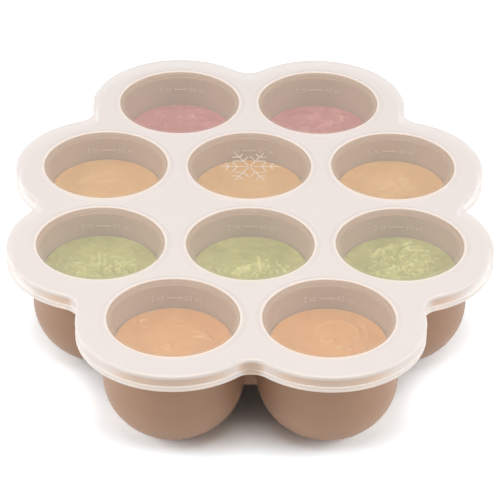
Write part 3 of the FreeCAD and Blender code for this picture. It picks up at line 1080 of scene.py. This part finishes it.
def bells(x, y, left, front, wide, long, lean, rise):
    # the sum of bell curves, each drawn out along its own direction
    dx, dy = x[..., None] - left, y[..., None] - front
    along = (dx * np.cos(lean) + dy * np.sin(lean)) / long
    aside = (dy * np.cos(lean) - dx * np.sin(lean)) / wide
    return (rise * np.exp(-(along ** 2 + aside ** 2) / 2)).sum(axis=-1)


def surfaceOf(look, x, y):
    # fine relief and broad swells: strokes and rings are bell curves of the distance from a line or a
    # circle, fading at its ends; lumps are small bells scattered over the lumpy patches
    random = np.random.default_rng(look["seed"])

    def drawn(pair, count):
        least, most = pair
        return least + (most - least) * random.random(count)

    fine = np.zeros_like(x)
    for left, front, right, back, width, tall in look["strokes"]:
        length = math.hypot(right - left, back - front)
        ahead = ((x - left) * (right - left) + (y - front) * (back - front)) / length
        aside = ((y - front) * (right - left) - (x - left) * (back - front)) / length
        bow = relief["bow"] * length * (1 - (2 * ahead / length - 1) ** 2)
        ends = np.clip(np.minimum(ahead, length - ahead) / width + 1, 0, 1)
        fine += tall * ends * np.exp(-((aside - bow) / width) ** 2 / 2)
    for left, front, radius, width, tall, first, last in look["rings"]:
        dx, dy = x - left, y - front
        ring = np.exp(-((np.hypot(dx, dy) - radius) / width) ** 2 / 2)
        turn = np.mod(np.degrees(np.arctan2(dy, dx)) - first, 360) / (last - first)
        fine += tall * ring * np.sqrt(np.clip(np.minimum(turn, 1 - turn) * relief["ringEnds"], 0, 1))
    for left, front, across, along, count in look["lumpy"]:
        least, most, tall = look["lump"]
        size = least + (most - least) * random.random(count) ** 2
        rise = tall * drawn(relief["lumpRise"], count)
        rise *= np.where(random.random(count) < relief["pits"], relief["pitRise"], 1)
        lumpX = left + across * random.normal(0, relief["spread"], count)
        lumpY = front + along * random.normal(0, relief["spread"], count)
        length = size * drawn(relief["lumpLength"], count)
        fine += bells(x, y, lumpX, lumpY, size, length, math.pi * random.random(count), rise)
    count = relief["swells"]
    angle = 2 * math.pi * random.random(count)
    away = wallTop * np.sqrt(random.random(count))
    width, length = (drawn(relief[key], count) for key in ("swellWidth", "swellLength"))
    rise = relief["swell"] * random.normal(0, 1, count)
    return fine, bells(x, y, away * np.cos(angle), away * np.sin(angle), width, length, angle, rise)


def makePortion(node, look, material):
    low, high = boxOf(node)
    middle, top, gap, soft = middleOf(node), high[2], portion["gap"], portion["round"]
    edge = wallBottom - gap + wallSlope * (top - bowlHeight)
    bottom, bowl, floor = cupInside(gap)
    lower = profile(
        floor[::-1],
        bowl[::-1],
        line(bottom, (edge, top - soft), steps=4),
        arc((edge - soft, top - soft), soft, 0, 90, steps=6),
    )
    inner = np.linspace(edge - soft, 0, portion["across"])[1:]
    section = np.concatenate([lower, np.stack([inner, np.full(len(inner), top)], axis=1)])
    points = turned(section, middle, portion["around"])
    x, y = points[..., 0] - middle[0], points[..., 1] - middle[1]
    onTop = points[..., 2] > top - near["profile"]
    fade = ease(edge - soft - np.hypot(x, y), 0, portion["fade"]) * onTop
    fine, broad = surfaceOf(look, x, y)
    points[..., 2] += (fine + broad) * fade
    shell = Shell("raised")
    shell.grid(points, np.clip(fine * fade / portion["full"], 0, 1))
    return shell.build(node.replace("puree", "portion"), material, portion["sharp"])


trayObject = makeTray(makeTraySilicone())
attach(trayObject, "tray")
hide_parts("tray_deck", "support_webs", *("cup_" + place for place in places))
print("tray made")

lidObject = makeLid(makeLidSilicone())
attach(lidObject, "lid")
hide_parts("lid")
flakeObject = makeFlake(makeFrostInk())
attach(flakeObject, "lid")
print("lid made")

for fruit, nodes in foods.items():
    material = makePuree(fruit)
    for node, look in nodes.items():
        made = makePortion(node, look, material)
        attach(made, node)
        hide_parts(node)
    print(f"{fruit} portions made")


# Floor, light and background

ground = {
    "size": 3000,
    "body": (0.84, 0.8, 0.76, 1),
    "seen": (1.79, 1.96, 2.06, 1),  # where it looks brightest
    "under": 0.57,  # share of that under the tray: a painted shadow
    # two distances from the middle, and by how much the share changes between them: a painted lighter ring
    # round the feet, then a slightly darker painted shade beyond it
    "steps": ((72, 95, 0.43), (97, 109, -0.13)),
    "bright": (300, 800),  # distances over which it fades to the backdrop's white
    "roughness": 0.9,
}
lights = {  # watts, size and place in mm; each is aimed at the middle of the tray
    "top": {"watts": 12.4, "size": (1000, 1000), "from": (0, -340, 2000)},
    "front": {"watts": 6.1, "size": (700, 500), "from": (0, -950, 1950)},
    "left": {"watts": 12.3, "size": (800, 800), "from": (-1400, -200, 700)},
    "right": {"watts": 11.6, "size": (800, 800), "from": (1400, -200, 700)},
}
aim = (0, 0, 30)
sky = 0.22  # its light on the object; the camera sees it white


def makeFloor():
    mesh = bpy.data.meshes.new("floor")
    half = ground["size"] * mm / 2
    corners = [(-half, -half, 0), (half, -half, 0), (half, half, 0), (-half, half, 0)]
    mesh.from_pydata(corners, [], [(0, 1, 2, 3)])
    finish = Finish("floor_paint", Roughness=ground["roughness"], Emission_Strength=1)
    seen = finish.seen()
    away = finish.node("ShaderNodeVectorMath", {"operation": "LENGTH"}, {0: finish.place}, "Value")
    black, white = (0, 0, 0, 1), (1, 1, 1, 1)
    # painted shadow on the floor as seen: darker under the tray, lighter round the feet
    share = ground["under"]
    for low, high, change in ground["steps"]:
        share += change * finish.between(away, low * mm, high * mm)
    bright = finish.between(away, *(distance * mm for distance in ground["bright"]))
    finish.give(
        Base_Color=finish.mix(seen, ground["body"], finish.mix(share, black, ground["seen"])),
        Emission_Color=finish.mix(bright * seen, black, white),
    )
    mesh.materials.append(finish.material)
    add("floor", mesh)


def makeSky():
    world = bpy.data.worlds.new("sky")
    world.use_nodes = True
    bpy.context.scene.world = world
    graph = Graph(world.node_tree)
    background = graph.tree.nodes["Background"]
    background.inputs["Color"].default_value = (1, 1, 1, 1)
    graph.put(background.inputs["Strength"], sky + (1 - sky) * graph.seen())


def makeLights():
    for name, facts in lights.items():
        data = bpy.data.lights.new(name, "AREA")
        data.shape = "RECTANGLE"
        data.size, data.size_y = (side * mm for side in facts["size"])
        data.energy = facts["watts"]
        made = add(name, data)
        made.location = Vector(facts["from"]) * mm
        made.rotation_euler = (Vector(aim) * mm - made.location).to_track_quat("-Z", "Y").to_euler()


makeFloor()
makeSky()
makeLights()
bpy.context.scene.view_settings.view_transform = "Standard"
print("stage set")
